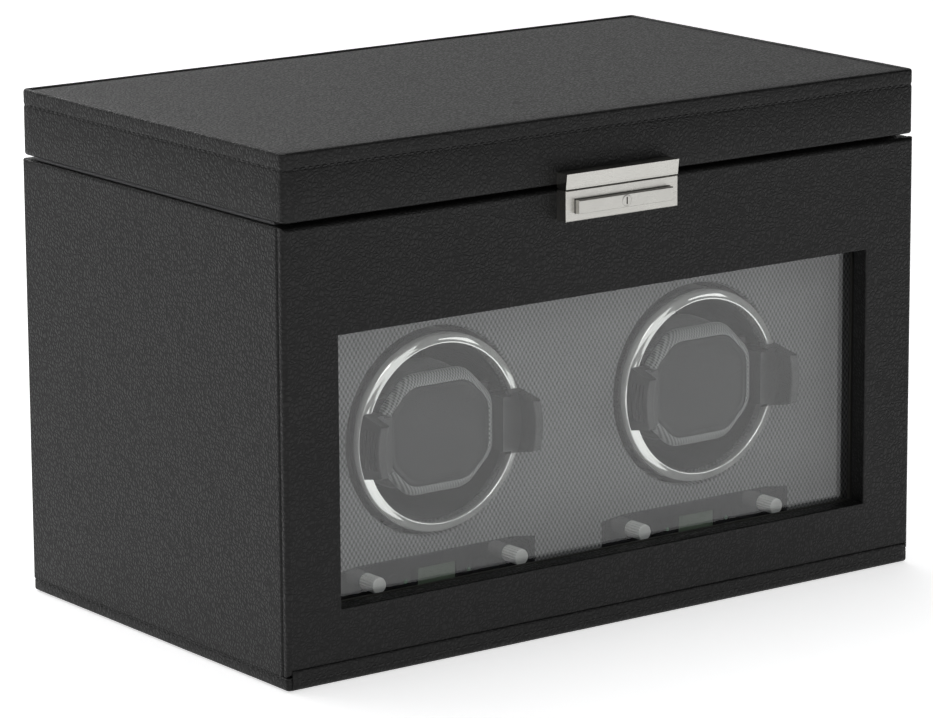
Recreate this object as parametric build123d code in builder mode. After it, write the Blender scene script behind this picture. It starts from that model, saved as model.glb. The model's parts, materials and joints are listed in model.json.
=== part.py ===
from build123d import *
import os
from math import radians, tan

os.makedirs("parts", exist_ok=True)

# Double watch winder in a leather-covered box, in millimetres. The origin is under the middle of
# the case on the surface it stands on: X runs along the front, +Y to the back and +Z up.

# Case
case_width = 338.0
case_depth = 201.0
case_height = 226.0
front = -case_depth / 2
back = case_depth / 2
body_half = case_width / 2 + 0.5
wall = 9.0
glue_gap = 0.2
edge_round = 1.5
felt = 0.6
base_top = 6.4
base_corner = 2.0
base_round = 1.2
felt_corner = 9.0
body_top = 195.3
back_thickness = 8.0
inner_half = body_half - wall

# Door, hinged along the bottom of its front face: a full-width lip, and a board behind it that
# closes between the side panels
door_thickness = 8.0
door_lip = 3.2
door_side_gap = 0.6
door_gap = 1.0
door_bottom = base_top + 0.3
door_back = front + door_thickness
panel_front = door_back + door_gap
side_front = front + door_lip + 0.7
window_half = 142.3
window_bottom = 31.9
window_top = 147.6
glass_thickness = 2.6
glass_lap = 2.6
bead_rim = 1.6
bead_depth = 4.0

# Storage compartment under the lid
deck_bottom = 153.0
deck_thickness = 6.0
deck_top = deck_bottom + deck_thickness
rail_thickness = 6.0
lining_half = 159.5
lining_front = panel_front + rail_thickness + 0.6
lining_back = back - wall - 0.5
lining_wall = 2.0
lining_top = 199.5
divider_thickness = 3.0
divider_top = 189.0
divider_x = (-52.0, 52.0)
divider_y = 3.0

# Lid
lid_half = case_width / 2
lid_bottom = 196.9
lid_shelf = 218.0
lid_ridge = 2.6
lid_panel_top = case_height - 0.5
lid_cushion = 8.0

# Lid hinges: two butt hinges whose barrels stand behind the case
hinge_x = (-105.0, 105.0)
hinge_length = 38.0
leaf = 0.7
leaf_front = back - back_thickness + 0.4
pin_y = back + 2.0
pin_z = (body_top + lid_bottom) / 2
pin_radius = 1.0
barrel_radius = 1.9
pin_clearance = 0.06
knuckles = 5
knuckle_gap = 0.3

# Winder modules, one each side of the middle
module_x = 71.25
drum_z = 91.0
fascia_front = front + 33.0
fascia_thickness = 4.0
fascia_back = fascia_front + fascia_thickness
opening_radius = 45.5
drum_outer = 42.6
drum_inner = 38.8
drum_front = fascia_front + 1.0
drum_back = -9.0
drum_floor = 3.0
hub_radius = 8.0
hub_back = 2.0
ring_outer = 43.2
ring_front = drum_front - 7.0
ring_shoulder = drum_front - 4.0
shaft_radius = 3.0
shaft_back = 34.0
bush_clearance = 0.05
bulkhead_front = 6.0
bulkhead_back = 15.0

# Cuff, the watch holder that sits in the drum
pad_half_width = 29.0
pad_half_height = 26.5
pad_face_width = 26.0
pad_face_height = 22.0
pad_corner = 14.0
pad_face_corner = 11.5
pad_front = fascia_front - 5.3
pad_bevel = 3.6
pad_back = pad_front + 7.0
plate_back = pad_back + 2.4
pillow_front = plate_back + 0.3
pillow_back = pillow_front + 26.0
core_half_width = 20.0
core_half_height = 17.0
arm_half_height = 12.0
arm_reach = 36.5
fin_outer = 43.2
fin_inner = 39.0
fin_front = front + 13.0
fin_root = fin_front + 10.0
fin_angle = 24.0
fin_front_height = 10.8
fin_back_height = 14.0
groove_pitch = 2.5
groove_count = 4
groove_width = 1.1
groove_depth = 0.5

# Belt drive
pulley_front = 24.0
pulley_back = 30.0
flange = 1.0
belt_width = 3.0
belt_thickness = 1.8
belt_clearance = 0.3
driven_groove = 26.5
motor_groove = 6.5
flange_rise = 2.5
motor_z = 30.0
motor_radius = 13.0
motor_front = -28.0
motor_shaft = 1.5
screw_offset = 9.0

# Control panels under the drums
panel_half = 52.5
panel_bottom = 13.0
panel_top = 38.0
panel_thickness = 1.4
panel_slope = 12.0
panel_drop = 1.6
panel_face = fascia_front - panel_thickness
board_front = fascia_back + 1.5
board_thickness = 1.6
knob_x = 37.5
knob_z = 31.5
knob_radius = 3.6
knob_length = 9.8
knob_stem = 1.6
knob_flutes = 18
button_x = 23.0
button_z = 28.7
button_radius = 3.3
button_stand = 0.5
lamp_x = 16.7
lamp_z = 27.7
lamp_radius = 0.9
display_half = 10.3
display_bottom = 19.0
display_top = 32.5

# Latch: a hasp on the lid and a lock plate with a push bar on the door
latch_half = 30.0
latch_stand = 6.5
latch_face = front - latch_stand
lock_bottom = 181.9
lock_top = 195.25
hasp_bottom = 195.75
hasp_top = 202.4
hasp_overhang = 0.8
bar_half = 25.3
bar_z = 188.3
bar_half_height = 2.9
bar_stand = 3.0
bar_thickness = 3.8
bar_pocket = 2.6
bar_play = 0.3
guide_x = 18.0
guide_z = 187.0
guide_radius = 1.2
tongue_half = 9.0
tongue_front = front - 2.5
tongue_back = front - 1.1
tongue_bottom = 189.5
key_radius = 2.45

# Mains adapter inlet in the back
inlet_x = 120.0
inlet_z = 32.0
inlet_radius = 5.5


def save(builder, name):
    """Label a finished sub-part and write it as its own node."""
    builder.part.label = name
    export_step(builder.part, f"parts/{name}.step")


def block(x0, x1, y0, y1, z0, z1, mode=Mode.ADD):
    """A box between two corners, in the builder that is open."""
    with Locations(((x0 + x1) / 2, (y0 + y1) / 2, (z0 + z1) / 2)):
        Box(x1 - x0, y1 - y0, z1 - z0, mode=mode)


def rod(x, z, y0, y1, radius, mode=Mode.ADD):
    """A cylinder along Y from y0 to y1, in the builder that is open."""
    with Locations(Location((x, (y0 + y1) / 2, z), (90, 0, 0))):
        Cylinder(radius, y1 - y0, mode=mode)


def facing(y):
    """The upright sketch plane at depth y: its x is X, its y is Z and it faces the front."""
    return Plane.XZ.offset(-y)


def octagon(half_width, half_height, corner):
    """A rectangle with its corners cut at 45 degrees, centred in the open sketch."""
    Polygon(
        (-half_width, -half_height + corner),
        (-half_width, half_height - corner),
        (-half_width + corner, half_height),
        (half_width - corner, half_height),
        (half_width, half_height - corner),
        (half_width, -half_height + corner),
        (half_width - corner, -half_height),
        (-half_width + corner, -half_height),
        align=None,
    )


# --- Case -------------------------------------------------------------------------------------

with BuildPart() as base_board:
    with BuildSketch(Plane.XY.offset(felt)):
        RectangleRounded(2 * body_half, case_depth, base_corner)
    extrude(amount=base_top - felt)
    fillet(base_board.faces().sort_by(Axis.Z)[0].edges(), base_round)
save(base_board, "base_board")

with BuildPart() as base_felt:
    with BuildSketch(Plane.XY):
        RectangleRounded(2 * body_half - 24, case_depth - 24, felt_corner)
    extrude(amount=felt)
save(base_felt, "base_felt")

for side, sign in (("left", -1), ("right", 1)):
    with BuildPart() as side_panel:
        outer, inner = sign * body_half, sign * inner_half
        block(min(outer, inner), max(outer, inner), side_front, back, base_top, body_top)
        outside = side_panel.faces().sort_by(Axis.X)[0 if sign < 0 else -1]
        upright = outside.edges().filter_by(Axis.Z)
        fillet(upright + outside.edges().sort_by(Axis.Z)[-1:], edge_round)
    save(side_panel, f"side_panel_{side}")

with BuildPart() as back_panel:
    block(-inner_half, inner_half, back - back_thickness, back, base_top, body_top)
    rod(inlet_x, inlet_z, back - back_thickness, back, inlet_radius, Mode.SUBTRACT)
save(back_panel, "back_panel")

with BuildPart() as storage_deck:
    back_face = back - back_thickness
    block(-inner_half, inner_half, panel_front, back_face, deck_bottom, deck_top)
    rail_back = panel_front + rail_thickness
    block(-inner_half, inner_half, panel_front, rail_back, deck_top, body_top)
save(storage_deck, "storage_deck")

with BuildPart() as tray_lining:
    block(-lining_half, lining_half, lining_front, lining_back, deck_top, lining_top)
    floor = deck_top + lining_wall
    inner_x = lining_half - lining_wall
    inner_front, inner_back = lining_front + lining_wall, lining_back - lining_wall
    block(-inner_x, inner_x, inner_front, inner_back, floor, lining_top, Mode.SUBTRACT)
    half = divider_thickness / 2
    for x in divider_x:
        block(x - half, x + half, inner_front, inner_back, floor, divider_top)
    for x0, x1 in ((-inner_x, divider_x[0]), (divider_x[1], inner_x)):
        block(x0, x1, divider_y - half, divider_y + half, floor, divider_top)
save(tray_lining, "tray_lining")

with BuildPart() as fascia_board:
    half = inner_half - glue_gap
    block(-half, half, fascia_front, fascia_back, base_top, deck_bottom)
    for x in (-module_x, module_x):
        rod(x, drum_z, fascia_front, fascia_back, opening_radius, Mode.SUBTRACT)
        block(x - 44, x + 44, fascia_front, fascia_back, 15.5, 36.3, Mode.SUBTRACT)
    rims = fascia_board.edges().filter_by(GeomType.CIRCLE).group_by(Axis.Y)[0]
    fillet(rims, 1.2)
save(fascia_board, "fascia_board")

with BuildPart() as mechanism_bulkhead:
    half = inner_half - glue_gap
    block(-half, half, bulkhead_front, bulkhead_back, base_top, deck_bottom)
    for x in (-module_x, module_x):
        rod(x, drum_z, bulkhead_front, bulkhead_back, 5.5, Mode.SUBTRACT)
        rod(x, motor_z, bulkhead_front, bulkhead_back, 4.0, Mode.SUBTRACT)
        for offset in (-screw_offset, screw_offset):
            rod(x + offset, motor_z, bulkhead_front, bulkhead_back, 1.6, Mode.SUBTRACT)
save(mechanism_bulkhead, "mechanism_bulkhead")

with BuildPart() as dc_inlet:
    rod(inlet_x, inlet_z, back - 12, back, inlet_radius)
    rod(inlet_x, inlet_z, back, back + 1.2, inlet_radius + 2.5)
    rod(inlet_x, inlet_z, back - 9, back + 1.2, 2.8, Mode.SUBTRACT)
    rod(inlet_x, inlet_z, back - 9.5, back - 1, 1.0)
save(dc_inlet, "dc_inlet")

# --- Lid --------------------------------------------------------------------------------------

with BuildPart() as lid_frame:
    with BuildSketch(Plane.XY.offset(lid_bottom)):
        RectangleRounded(case_width, case_depth, 2.0)
    extrude(amount=case_height - lid_bottom)
    top_edges = lid_frame.faces().sort_by(Axis.Z)[-1].edges()
    bottom_edges = lid_frame.faces().sort_by(Axis.Z)[0].edges()
    fillet(top_edges + bottom_edges, 1.0)
    cavity_x, cavity_y = lid_half - wall, back - wall
    block(-cavity_x, cavity_x, -cavity_y, cavity_y, lid_bottom, lid_shelf, Mode.SUBTRACT)
    ledge_x, ledge_y = lid_half - lid_ridge, back - lid_ridge
    block(-ledge_x, ledge_x, -ledge_y, ledge_y, lid_shelf, case_height, Mode.SUBTRACT)
save(lid_frame, "lid_frame")

with BuildPart() as lid_top_panel:
    ledge_x, ledge_y = lid_half - lid_ridge - 0.3, back - lid_ridge - 0.3
    block(-ledge_x, ledge_x, -ledge_y, ledge_y, lid_shelf, lid_panel_top)
    fillet(lid_top_panel.faces().sort_by(Axis.Z)[-1].edges(), 1.0)
save(lid_top_panel, "lid_top_panel")

with BuildPart() as lid_cushion_pad:
    half_x, half_y = lid_half - wall - 0.5, back - wall - 0.5
    block(-half_x, half_x, -half_y, half_y, lid_shelf - lid_cushion, lid_shelf)
    fillet(lid_cushion_pad.faces().sort_by(Axis.Z)[0].edges(), 3.0)
save(lid_cushion_pad, "lid_lining")


def hinge_leaves(z0, z1, own):
    """One leaf of each butt hinge, with the knuckles whose numbers are in own."""
    pitch = (hinge_length + knuckle_gap) / knuckles
    plate_back = pin_y - barrel_radius - knuckle_gap
    for x in hinge_x:
        start = x - hinge_length / 2
        block(start, start + hinge_length, leaf_front, plate_back, z0, z1)
        for index in own:
            x0 = start + index * pitch
            x1 = x0 + pitch - knuckle_gap
            block(x0, x1, plate_back, pin_y, z0, z1)
            with Locations(Location(((x0 + x1) / 2, pin_y, pin_z), (0, 90, 0))):
                Cylinder(barrel_radius, x1 - x0)
    for x in hinge_x:
        with Locations(Location((x, pin_y, pin_z), (0, 90, 0))):
            Cylinder(pin_radius + pin_clearance, hinge_length + 2, mode=Mode.SUBTRACT)


with BuildPart() as lid_hinge_body_leaves:
    hinge_leaves(body_top, body_top + leaf, range(0, knuckles, 2))
save(lid_hinge_body_leaves, "lid_hinge_body_leaves")

with BuildPart() as lid_hinge_lid_leaves:
    hinge_leaves(lid_bottom - leaf, lid_bottom, range(1, knuckles, 2))
save(lid_hinge_lid_leaves, "lid_hinge_lid_leaves")

with BuildPart() as lid_hinge_pins:
    for x in hinge_x:
        with Locations(Location((x, pin_y, pin_z), (0, 90, 0))):
            Cylinder(pin_radius, hinge_length)
save(lid_hinge_pins, "lid_hinge_pins")

# --- Door -------------------------------------------------------------------------------------

with BuildPart() as door_frame:
    block(-body_half, body_half, front, front + door_lip, door_bottom, body_top)
    fillet(door_frame.faces().sort_by(Axis.Y)[0].edges(), 2.0)
    half = inner_half - door_side_gap
    block(-half, half, front + door_lip, door_back, door_bottom, body_top)
    fillet(door_frame.faces().sort_by(Axis.Y)[-1].edges(), 0.8)
    block(-window_half, window_half, front, door_back, window_bottom, window_top, Mode.SUBTRACT)
    lip = door_frame.faces().sort_by(Axis.Y)[0].inner_wires()[0].edges()
    fillet(lip, 0.6)
    notch = tongue_half + 1
    block(-notch, notch, front, door_back, tongue_bottom - 0.7, body_top, Mode.SUBTRACT)
save(door_frame, "door_frame")

with BuildPart() as door_glass:
    half = window_half + glass_lap
    z0, z1 = window_bottom - glass_lap, window_top + glass_lap
    block(-half, half, door_back, door_back + glass_thickness, z0, z1)
save(door_glass, "door_glass")

with BuildPart() as glass_bead:
    half = window_half + glass_lap + bead_rim
    z0, z1 = window_bottom - glass_lap - bead_rim, window_top + glass_lap + bead_rim
    block(-half, half, door_back, door_back + bead_depth, z0, z1)
    half = window_half + glass_lap + glue_gap
    z0, z1 = window_bottom - glass_lap - glue_gap, window_top + glass_lap + glue_gap
    step = door_back + glass_thickness
    block(-half, half, door_back, step, z0, z1, Mode.SUBTRACT)
    z0, z1 = window_bottom, window_top
    block(-window_half, window_half, step, door_back + bead_depth, z0, z1, Mode.SUBTRACT)
save(glass_bead, "glass_bead")

with BuildPart() as door_hinge_strip:
    strip = 0.6
    z0 = felt + base_round + 0.1
    block(-body_half + base_corner, body_half - base_corner, front - strip, front, z0, base_top)
save(door_hinge_strip, "door_hinge_strip")

# --- Latch ------------------------------------------------------------------------------------

with BuildPart() as lock_plate:
    block(-latch_half, latch_half, latch_face, front, lock_bottom, lock_top)
    chamfer(lock_plate.faces().sort_by(Axis.Y)[0].edges(), 0.3)
    half, tall = bar_half + bar_play, bar_half_height + bar_play
    pocket = latch_face + bar_pocket
    block(-half, half, latch_face, pocket, bar_z - tall, bar_z + tall, Mode.SUBTRACT)
    notch = tongue_half + 1
    block(-notch, notch, tongue_front - 0.5, front, tongue_bottom - 0.7, lock_top, Mode.SUBTRACT)
    for x in (-guide_x, guide_x):
        rod(x, guide_z, pocket, front - 0.1, guide_radius + 0.1, Mode.SUBTRACT)
save(lock_plate, "lock_plate")

with BuildPart() as push_bar:
    bar_front = latch_face - bar_stand
    bar_back = bar_front + bar_thickness
    z0, z1 = bar_z - bar_half_height, bar_z + bar_half_height
    block(-bar_half, bar_half, bar_front, bar_back, z0, z1)
    fillet(push_bar.faces().sort_by(Axis.Y)[0].edges(), 0.4)
    rod(0, bar_z, bar_front, bar_back - 0.5, key_radius + 0.05, Mode.SUBTRACT)
    for x in (-guide_x, guide_x):
        rod(x, guide_z, bar_back, front - 1.7, guide_radius)
save(push_bar, "push_bar")

with BuildPart() as key_cylinder:
    bar_front = latch_face - bar_stand
    rod(0, bar_z, bar_front - 0.2, bar_front + bar_thickness - 0.6, key_radius)
    chamfer(key_cylinder.edges().group_by(Axis.Y)[0], 0.2)
    block(-0.35, 0.35, bar_front - 0.2, bar_front + 1.4, bar_z - 1.6, bar_z + 1.6, Mode.SUBTRACT)
save(key_cylinder, "key_cylinder")

with BuildPart() as lock_hasp:
    with BuildSketch(Plane.YZ):
        with BuildLine():
            Polyline(
                (front, hasp_bottom),
                (latch_face, hasp_bottom),
                (latch_face, hasp_bottom + 0.9),
                (latch_face - hasp_overhang, hasp_top),
                (front, hasp_top),
                close=True,
            )
        make_face()
    extrude(amount=latch_half, both=True)
    block(-tongue_half, tongue_half, tongue_front, tongue_back, tongue_bottom, hasp_bottom)
save(lock_hasp, "lock_hasp")

# --- Winder modules ---------------------------------------------------------------------------


def pulley(x, z, groove):
    """A flanged belt pulley about an axis along Y."""
    rod(x, z, pulley_front, pulley_back, groove)
    rod(x, z, pulley_front, pulley_front + flange, groove + flange_rise)
    rod(x, z, pulley_back - flange, pulley_back, groove + flange_rise)


def belt_outline(x, rise):
    """The area inside a belt line that stands off both pulley grooves by rise."""
    middle = (pulley_front + pulley_back) / 2
    with BuildSketch(facing(middle + belt_width / 2)) as outline:
        with Locations((x, drum_z)):
            Circle(driven_groove + rise)
        with Locations((x, motor_z)):
            Circle(motor_groove + rise)
        make_hull()
    return outline.sketch


def fin_sector(x, direction, inner, outer, y1, angle):
    """A slice of a tube's section about the drum's axis, angle degrees each side of level."""
    reach = 2 * outer * direction
    rise = 2 * outer * tan(radians(angle))
    with BuildSketch(facing(y1)) as sector:
        with Locations((x, drum_z)):
            Circle(outer)
            Circle(inner, mode=Mode.SUBTRACT)
            Polygon((0, 0), (reach, -rise), (reach, rise), align=None, mode=Mode.INTERSECT)
    return sector.sketch


for side, sign in (("left", -1), ("right", 1)):
    x = sign * module_x

    with BuildPart() as drum:
        rod(x, drum_z, drum_front, drum_back, drum_outer)
        rod(x, drum_z, drum_front, drum_back - drum_floor, drum_inner, Mode.SUBTRACT)
        rod(x, drum_z, drum_back, hub_back, hub_radius)
        rod(x, drum_z, drum_back - drum_floor, hub_back, shaft_radius, Mode.SUBTRACT)
    save(drum, f"drum_{side}")

    with BuildPart() as drum_ring:
        # A lip at the bore, then a low flank that turns back at the rim.
        with BuildSketch(Plane.XY.offset(drum_z)):
            with BuildLine():
                bore, rim = x + drum_inner, x + ring_outer
                Line((bore, drum_front), (bore, ring_front + 0.5))
                ThreePointArc(
                    (bore, ring_front + 0.5), (bore + 0.5, ring_front), (bore + 1, ring_front + 0.3)
                )
                turn = (rim - 0.5, ring_front + 1.5)
                ThreePointArc((bore + 1, ring_front + 0.3), (bore + 2.6, ring_front + 0.8), turn)
                ThreePointArc(turn, (rim - 0.12, ring_front + 2.1), (rim, ring_shoulder))
                Polyline((rim, ring_shoulder), (rim, drum_front), (bore, drum_front))
            make_face()
        revolve(axis=Axis((x, 0, drum_z), (0, 1, 0)))
    save(drum_ring, f"drum_ring_{side}")

    with BuildPart() as cuff_core:
        z0, z1 = drum_z - core_half_height, drum_z + core_half_height
        half = core_half_width
        block(x - half, x + half, plate_back, pillow_back + 4, z0, z1)
        half = pad_half_width + 1
        block(x - half, x + half, pad_back, plate_back, z0, z1)
        z0, z1 = drum_z - arm_half_height, drum_z + arm_half_height
        for direction in (-1, 1):
            near, far = sorted((x + direction * pad_half_width, x + direction * arm_reach))
            block(near, far, fin_root, plate_back, z0, z1)
            root = fin_sector(x, direction, arm_reach - 1, fin_outer, ring_front - 0.1, fin_angle)
            extrude(root, amount=ring_front - 0.1 - fin_root)
            blade = fin_sector(x, direction, fin_inner, fin_outer, fin_root, fin_angle)
            extrude(blade, amount=fin_root - fin_front)
        # The blades narrow towards the front.
        for direction in (-1, 1):
            with BuildSketch(Plane.YZ):
                Polygon(
                    (fin_front - 1, drum_z + direction * fin_front_height),
                    (ring_front, drum_z + direction * fin_back_height),
                    (ring_front, drum_z + direction * 25),
                    (fin_front - 1, drum_z + direction * 25),
                    align=None,
                )
            extrude(amount=200, both=True, mode=Mode.SUBTRACT)
        fillet(cuff_core.faces().group_by(Axis.Y)[0].edges(), 0.8)
        # Grip grooves on the outside of each blade.
        for direction in (-1, 1):
            for index in range(groove_count):
                y = fin_front + 2.4 + index * groove_pitch
                bottom = fin_outer - groove_depth
                groove = fin_sector(x, direction, bottom, fin_outer + 1, y + groove_width, 11)
                extrude(groove, amount=groove_width, mode=Mode.SUBTRACT)
    save(cuff_core, f"cuff_core_{side}")

    with BuildPart() as cuff_pad:
        for y, half_width, half_height, corner in (
            (pad_front + pad_bevel, pad_half_width, pad_half_height, pad_corner),
            (pad_front, pad_face_width, pad_face_height, pad_face_corner),
        ):
            with BuildSketch(facing(y)):
                with Locations((x, drum_z)):
                    octagon(half_width, half_height, corner)
        loft()
        with BuildSketch(facing(pad_back)):
            with Locations((x, drum_z)):
                octagon(pad_half_width, pad_half_height, pad_corner)
        extrude(amount=pad_back - pad_front - pad_bevel)
    save(cuff_pad, f"cuff_pad_{side}")

    with BuildPart() as cuff_pillow:
        with BuildSketch(facing(pillow_back)):
            with Locations((x, drum_z)):
                octagon(pad_half_width, pad_half_height, pad_corner)
                Rectangle(2 * core_half_width, 2 * core_half_height, mode=Mode.SUBTRACT)
        extrude(amount=pillow_back - pillow_front)
    save(cuff_pillow, f"cuff_pillow_{side}")

    with BuildPart() as drum_shaft:
        rod(x, drum_z, drum_back - drum_floor, shaft_back, shaft_radius)
    save(drum_shaft, f"drum_shaft_{side}")

    with BuildPart() as driven_pulley:
        pulley(x, drum_z, driven_groove)
        rod(x, drum_z, pulley_front, pulley_back, shaft_radius, Mode.SUBTRACT)
    save(driven_pulley, f"driven_pulley_{side}")

    with BuildPart() as drive_belt:
        extrude(belt_outline(x, belt_clearance + belt_thickness), amount=belt_width)
        extrude(belt_outline(x, belt_clearance), amount=belt_width, mode=Mode.SUBTRACT)
    save(drive_belt, f"drive_belt_{side}")

    with BuildPart() as gear_motor:
        rod(x, motor_z, motor_front, bulkhead_front, motor_radius)
        rod(x, motor_z, bulkhead_front, bulkhead_front + 2, 3.5)
        rod(x, motor_z, -2, bulkhead_front + 2, motor_shaft + 0.06, Mode.SUBTRACT)
        for offset in (-screw_offset, screw_offset):
            rod(x + offset, motor_z, 2, bulkhead_front, 1.5, Mode.SUBTRACT)
    save(gear_motor, f"gear_motor_{side}")

    with BuildPart() as motor_pulley:
        pulley(x, motor_z, motor_groove)
        rod(x, motor_z, -1.5, pulley_front, motor_shaft)
    save(motor_pulley, f"motor_pulley_{side}")

with BuildPart() as shaft_bushes:
    for x in (-module_x, module_x):
        rod(x, drum_z, bulkhead_front - 2, bulkhead_front, hub_radius)
        rod(x, drum_z, bulkhead_front, bulkhead_back + 2, 5.5)
        bore = shaft_radius + bush_clearance
        rod(x, drum_z, bulkhead_front - 2, bulkhead_back + 2, bore, Mode.SUBTRACT)
save(shaft_bushes, "shaft_bushes")

with BuildPart() as motor_screws:
    for x in (-module_x, module_x):
        for offset in (-screw_offset, screw_offset):
            rod(x + offset, motor_z, 2.5, bulkhead_back, 1.5)
            rod(x + offset, motor_z, bulkhead_back, bulkhead_back + 1.8, 2.7)
save(motor_screws, "motor_screws")

# --- Control panels ---------------------------------------------------------------------------

for side, sign in (("left", -1), ("right", 1)):
    x = sign * module_x

    with BuildPart() as control_panel:
        with BuildSketch(facing(fascia_front)):
            Polygon(
                (x - panel_half, panel_bottom),
                (x - panel_half, panel_top - panel_drop),
                (x - panel_half + panel_slope, panel_top),
                (x + panel_half - panel_slope, panel_top),
                (x + panel_half, panel_top - panel_drop),
                (x + panel_half, panel_bottom),
                align=None,
            )
        extrude(amount=panel_thickness)
        chamfer(control_panel.faces().sort_by(Axis.Y)[0].edges(), 0.3)
        for offset in (-1, 1):
            rod(x + offset * knob_x, knob_z, panel_face, fascia_front, 2.0, Mode.SUBTRACT)
            hole = button_radius + 0.15
            rod(x + offset * button_x, button_z, panel_face, fascia_front, hole, Mode.SUBTRACT)
            hole = lamp_radius + 0.05
            rod(x + offset * lamp_x, lamp_z, panel_face, fascia_front, hole, Mode.SUBTRACT)
        block(
            x - display_half, x + display_half, panel_face, fascia_front,
            display_bottom, display_top, Mode.SUBTRACT,
        )
    save(control_panel, f"control_panel_{side}")

    with BuildPart() as display:
        block(
            x - display_half - 2, x + display_half + 2, fascia_front, fascia_front + 2,
            display_bottom - 2, display_top + 2,
        )
    save(display, f"display_{side}")

    with BuildPart() as circuit_board:
        block(x - 48, x + 48, board_front, board_front + board_thickness, 13.5, 38.0)
        for offset in (-1, 1):
            knob = x + offset * knob_x
            block(knob - 4.5, knob + 4.5, fascia_front + 0.5, board_front, 27.0, 36.0)
            bore = knob_stem + 0.05
            rod(knob, knob_z, fascia_front + 0.5, board_front, bore, Mode.SUBTRACT)
            press = x + offset * button_x
            block(press - 3, press + 3, board_front - 2.4, board_front, 25.7, 31.7)
            rod(press, button_z, board_front - 3.0, board_front - 2.4, 1.5)
            rod(x + offset * lamp_x, lamp_z, panel_face - 0.2, board_front, lamp_radius)
            for z in (14.5, 37.0):
                rod(x + offset * 46, z, fascia_back, board_front, 1.0)
    save(circuit_board, f"circuit_board_{side}")

    for place, offset in (("outer", sign), ("inner", -sign)):
        with BuildPart() as knob:
            knob_at = x + offset * knob_x
            knob_back = panel_face - 0.3
            rod(knob_at, knob_z, knob_back - knob_length, knob_back, knob_radius)
            fillet(knob.edges().group_by(Axis.Y)[0], 0.5)
            with Locations(Location((knob_at, knob_back - knob_length / 2, knob_z), (90, 0, 0))):
                with PolarLocations(knob_radius + 0.15, knob_flutes):
                    Cylinder(0.45, knob_length, mode=Mode.SUBTRACT)
            rod(knob_at, knob_z, knob_back, board_front - 0.5, knob_stem)
        save(knob, f"knob_{side}_{place}")

        with BuildPart() as button:
            press = x + offset * button_x
            button_face = panel_face - button_stand
            rod(press, button_z, button_face, fascia_front + 0.1, button_radius)
            fillet(button.edges().group_by(Axis.Y)[0], 0.4)
            rod(press, button_z, fascia_front + 0.1, fascia_front + 0.7, button_radius + 0.8)
            rod(press, button_z, fascia_front + 0.7, board_front - 3.6, 1.2)
        save(button, f"button_{side}_{place}")
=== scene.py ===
import json
import math

import bmesh
import bpy
from mathutils import Matrix, Vector, noise


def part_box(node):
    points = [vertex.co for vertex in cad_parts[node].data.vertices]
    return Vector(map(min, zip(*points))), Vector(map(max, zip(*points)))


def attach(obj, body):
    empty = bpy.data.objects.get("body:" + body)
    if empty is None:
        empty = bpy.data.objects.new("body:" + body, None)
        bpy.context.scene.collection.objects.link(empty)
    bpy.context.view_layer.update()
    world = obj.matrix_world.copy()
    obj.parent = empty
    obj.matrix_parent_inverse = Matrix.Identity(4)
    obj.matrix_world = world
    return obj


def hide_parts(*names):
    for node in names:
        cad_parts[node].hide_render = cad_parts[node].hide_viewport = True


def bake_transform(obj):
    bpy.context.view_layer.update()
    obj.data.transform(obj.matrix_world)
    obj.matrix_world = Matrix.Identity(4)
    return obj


# A leather-covered double watch winder: materials, upholstery, stitching and trim around the packed
# model. Everything is in metres in the model's frame: X right, +Y to the back and +Z up.

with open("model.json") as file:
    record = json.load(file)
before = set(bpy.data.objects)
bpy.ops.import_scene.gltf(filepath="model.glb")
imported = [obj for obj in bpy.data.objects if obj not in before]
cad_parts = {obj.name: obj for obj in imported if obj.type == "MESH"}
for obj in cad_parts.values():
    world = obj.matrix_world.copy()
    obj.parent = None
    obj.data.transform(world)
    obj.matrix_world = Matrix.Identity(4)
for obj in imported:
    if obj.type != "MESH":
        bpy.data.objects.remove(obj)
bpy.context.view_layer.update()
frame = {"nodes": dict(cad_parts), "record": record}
nodes = frame["nodes"]
MM = 0.001
SIDES = ("left", "right")

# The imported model's plain materials make way for the ones below, which take their names.
for plain in list(bpy.data.materials):
    bpy.data.materials.remove(plain)


# --- Node helpers -----------------------------------------------------------------------------


def new_material(name):
    """A material with one Principled shader: its node tree and the shader."""
    material = bpy.data.materials.new(name)
    material.use_nodes = True
    return material.node_tree, material.node_tree.nodes["Principled BSDF"]


def add(tree, kind, inputs=None, **settings):
    """A shader node with its settings, its inputs set to values or wired to sockets."""
    node = tree.nodes.new("ShaderNode" + kind)
    for key, value in settings.items():
        setattr(node, key, value)
    for key, value in (inputs or {}).items():
        feed(tree, node.inputs[key], value)
    return node


def feed(tree, socket, value):
    """Wire a socket into another, or set its value."""
    if isinstance(value, bpy.types.NodeSocket):
        tree.links.new(value, socket)
    else:
        socket.default_value = value


def maths(tree, operation, first, second=0.0, clamp=False):
    """The output of one Math node."""
    node = add(tree, "Math", {0: first, 1: second}, operation=operation, use_clamp=clamp)
    return node.outputs[0]


def weighted(tree, first, first_weight, second, second_weight):
    """The sum of two values times their weights."""
    parts = [
        maths(tree, "MULTIPLY", value, weight)
        for value, weight in ((first, first_weight), (second, second_weight))
    ]
    return maths(tree, "ADD", *parts)


def place(tree):
    """Positions on the piece, which sits in the model's frame at rest."""
    return add(tree, "TexCoord").outputs["Object"]


def noise_at(tree, position, size, detail=2.0, roughness=0.5):
    """A noise value with features of about this size."""
    settings = {"Vector": position, "Scale": 1 / size, "Detail": detail, "Roughness": roughness}
    return add(tree, "TexNoise", settings).outputs["Fac"]


def spread(tree, value, low, high, source=(0.3, 0.7)):
    """A value mapped from its usual range to low and high."""
    settings = {"Value": value, 1: source[0], 2: source[1], 3: low, 4: high}
    return add(tree, "MapRange", settings).outputs[0]


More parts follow.
